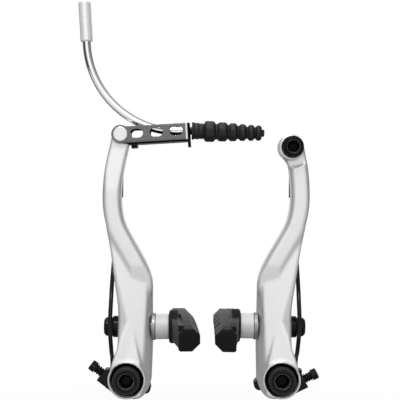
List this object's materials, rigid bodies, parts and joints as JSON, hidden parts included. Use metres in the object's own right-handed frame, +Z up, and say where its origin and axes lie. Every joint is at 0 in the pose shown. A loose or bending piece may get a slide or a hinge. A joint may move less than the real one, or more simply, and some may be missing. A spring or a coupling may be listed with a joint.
{
  "type": "linear pull rim brake",
  "caption": "Bicycle rim brake with opposed silver arms, rubber shoes, wire return springs, a pivoting link, curved cable guide pipe, bellows boot and cable clamp.",
  "frame": {"origin": "halfway between the two pivot axes, in the plane of the shoe posts", "axes": "+X to the viewer's right, +Y away from the viewer along the pivot axes towards the bicycle frame, +Z up along the arms"},
  "size_m": [0.1149, 0.0672, 0.1871],
  "materials": {
    "arm_silver": "satin silver",
    "bush_black": "matte black",
    "bolt_black": "gloss black",
    "holder_plastic": "moulded black",
    "spring_wire": "gloss black",
    "screw_black": "black oxide",
    "shoe_rubber": "matte black",
    "post_steel": "plated",
    "spacer_silver": "satin",
    "washer_silver": "satin",
    "washer_black": "gloss black",
    "link_black": "satin black",
    "pin_grey": "satin",
    "pipe_steel": "polished",
    "liner_plastic": "white polymer",
    "boot_rubber": "matte black"
  },
  "bodies": {
    "frame_side": {"left_pivot_bushing": "bush_black", "left_fixing_bolt": "bolt_black", "left_spring_holder": "holder_plastic", "left_return_spring": "spring_wire", "right_pivot_bushing": "bush_black", "right_fixing_bolt": "bolt_black", "right_spring_holder": "holder_plastic", "right_return_spring": "spring_wire"},
    "left_arm_body": {"left_arm": "arm_silver", "left_brake_shoe": "shoe_rubber", "left_shoe_post": "post_steel", "left_inner_cup_spacer": "spacer_silver", "left_inner_dome_washer": "washer_silver", "left_outer_dome_washer": "washer_black", "left_outer_cup_washer": "washer_black", "left_shoe_nut": "washer_black", "left_spring_sleeve": "holder_plastic", "link_pin": "pin_grey"},
    "right_arm_body": {"right_arm": "arm_silver", "right_brake_shoe": "shoe_rubber", "right_shoe_post": "post_steel", "right_inner_cup_spacer": "spacer_silver", "right_inner_dome_washer": "washer_silver", "right_outer_dome_washer": "washer_black", "right_outer_cup_washer": "washer_black", "right_shoe_nut": "washer_black", "right_spring_sleeve": "holder_plastic", "cable_bolt": "bolt_black", "cable_clamp_washer": "washer_black"},
    "link_body": {"link_bracket": "link_black"},
    "guide_pipe": {"noodle_pipe": "pipe_steel", "noodle_liner": "liner_plastic", "noodle_ferrule": "pipe_steel", "noodle_nose": "pipe_steel", "rubber_boot": "boot_rubber"},
    "left_adjuster": {"left_tension_screw": "screw_black"},
    "right_adjuster": {"right_tension_screw": "screw_black"}
  },
  "joints": [
    {"name": "left_arm_pivot", "type": "hinge", "parent": "frame_side", "child": "left_arm_body", "pos_m": [-0.0355, 0, 0], "axis": [0, -1, 0], "range_deg": [-1.2, 20], "stiffness_Nm_per_rad": 2, "deforming": ["left_return_spring"]},
    {"name": "right_arm_pivot", "type": "hinge", "parent": "frame_side", "child": "right_arm_body", "pos_m": [0.0355, 0, 0], "axis": [0, 1, 0], "range_deg": [-1.2, 20], "stiffness_Nm_per_rad": 2, "deforming": ["right_return_spring"]},
    {"name": "link_pivot", "type": "hinge", "parent": "left_arm_body", "child": "link_body", "pos_m": [-0.0387, 0, 0.1129], "axis": [0, -1, 0], "range_deg": [0, 70]},
    {"name": "guide_pipe_swivel", "type": "hinge", "parent": "link_body", "child": "guide_pipe", "pos_m": [-0.0387, 0, 0.1129], "axis": [0.9983, 0, 0.0576], "range_deg": [-15, 15]},
    {"name": "left_screw_slide", "type": "slide", "parent": "frame_side", "child": "left_adjuster", "axis": [-0.788, 0, 0.6157], "range_m": [0, 0.0025]},
    {"name": "right_screw_slide", "type": "slide", "parent": "frame_side", "child": "right_adjuster", "axis": [0.9011, 0, 0.4337], "range_m": [0, 0.0025]}
  ]
}
